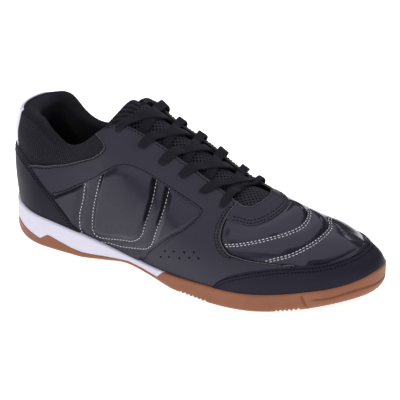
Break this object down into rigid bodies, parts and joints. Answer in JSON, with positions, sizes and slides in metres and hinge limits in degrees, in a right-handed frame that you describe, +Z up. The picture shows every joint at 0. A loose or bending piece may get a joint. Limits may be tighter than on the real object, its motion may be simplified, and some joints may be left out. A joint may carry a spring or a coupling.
{
  "type": "indoor court shoe",
  "caption": "Low indoor court shoe for the right foot: black laced upper with toe guard and heel counter, white midsole and gum rubber outsole.",
  "frame": {"origin": "on the floor, under the middle of the shoe's box", "axes": "+X towards the toe, +Y towards the inner (medial) side of the right foot, +Z up"},
  "size_m": [0.2928, 0.1011, 0.1202],
  "materials": {
    "gum_rubber": "matte gum rubber",
    "white_foam": "matte moulded foam",
    "liner_fabric": "brushed lining",
    "black_leather": "smooth coated synthetic leather",
    "guard_leather": "matte coated synthetic leather",
    "black_mesh": "open padded mesh",
    "woven_lace": "flat woven lace"
  },
  "bodies": {
    "root": {"outsole": "gum_rubber", "midsole": "white_foam", "insole": "liner_fabric", "upper": "black_leather", "toe_guard": "guard_leather", "heel_counter": "guard_leather", "tongue": "black_mesh", "lace_bar": "woven_lace", "lace_cross_1": "woven_lace", "lace_cross_2": "woven_lace", "lace_cross_3": "woven_lace", "lace_cross_4": "woven_lace", "lace_cross_5": "woven_lace"}
  },
  "joints": []
}
